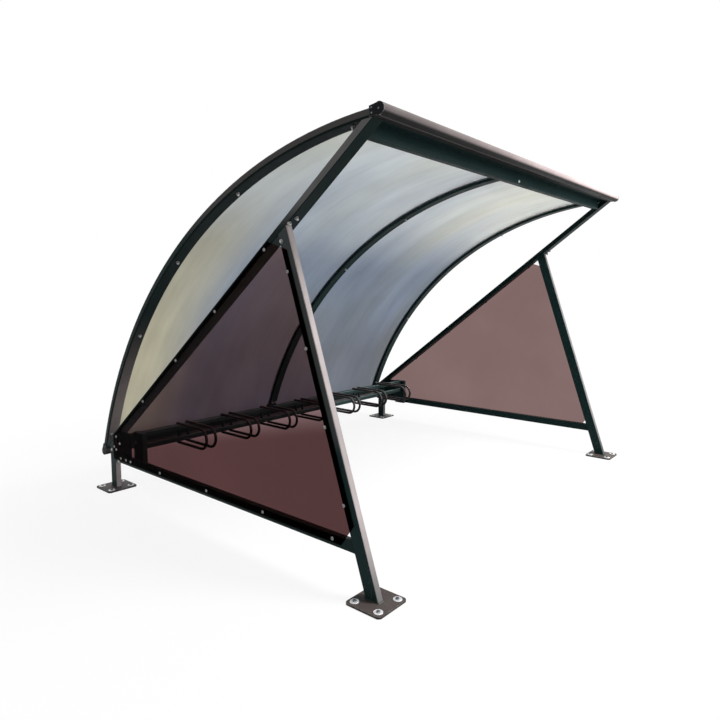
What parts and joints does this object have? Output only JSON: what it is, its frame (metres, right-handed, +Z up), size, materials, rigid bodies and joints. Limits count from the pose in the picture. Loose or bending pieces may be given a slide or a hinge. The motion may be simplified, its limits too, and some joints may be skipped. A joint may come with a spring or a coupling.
{
  "type": "bike shelter",
  "caption": "Open-fronted bike shelter: a curved translucent roof on triangular side frames with smoked panels, base plates and a rack of hoop wheel holders.",
  "frame": {"origin": "on the ground under the middle of the whole shelter", "axes": "+X across the shelter to the right of someone looking in, +Y from the open front to the back, +Z up"},
  "size_m": [3.259, 2.7018, 2.2095],
  "materials": {
    "frame_paint": "dark grey-brown paint, satin",
    "plate_paint": "dark grey-brown paint, satin, scuffed",
    "trim_paint": "dark paint, satin",
    "eave_paint": "dark grey-brown paint, satin",
    "rack_paint": "dark paint, satin, worn by wheels",
    "cap_plastic": "black moulded plastic",
    "roof_sheet": "translucent, streaky",
    "side_panel": "smoked brown, clear",
    "fasteners": "zinc-plated bolts, washers and screws"
  },
  "bodies": {
    "root": {"left_front_base_plate": "plate_paint", "left_rear_base_plate": "plate_paint", "left_front_leg": "frame_paint", "left_rear_post": "frame_paint", "left_lower_rail": "frame_paint", "left_diagonal": "frame_paint", "left_corner_plate": "frame_paint", "left_rib": "frame_paint", "left_roof_sheet": "roof_sheet", "left_edge_trim": "trim_paint", "left_eave_cap": "cap_plastic", "left_rear_cap": "cap_plastic", "left_side_panel": "side_panel", "left_rack_upright": "rack_paint", "right_front_base_plate": "plate_paint", "right_rear_base_plate": "plate_paint", "right_front_leg": "frame_paint", "right_rear_post": "frame_paint", "right_lower_rail": "frame_paint", "right_diagonal": "frame_paint", "right_corner_plate": "frame_paint", "right_rib": "frame_paint", "right_roof_sheet": "roof_sheet", "right_edge_trim": "trim_paint", "right_eave_cap": "cap_plastic", "right_rear_cap": "cap_plastic", "right_side_panel": "side_panel", "right_rack_upright": "rack_paint", "middle_rib": "frame_paint", "front_beam": "frame_paint", "front_soffit": "frame_paint", "rear_beam": "frame_paint", "middle_cover_strip": "trim_paint", "front_eave_profile": "eave_paint", "rear_eave_profile": "eave_paint", "rack_upper_bar": "rack_paint", "rack_lower_bar": "rack_paint", "rack_spacers": "rack_paint", "wheel_holder_1": "rack_paint", "wheel_holder_2": "rack_paint", "wheel_holder_3": "rack_paint", "wheel_holder_4": "rack_paint", "wheel_holder_5": "rack_paint", "wheel_holder_6": "rack_paint", "wheel_holder_7": "rack_paint"}
  },
  "joints": []
}
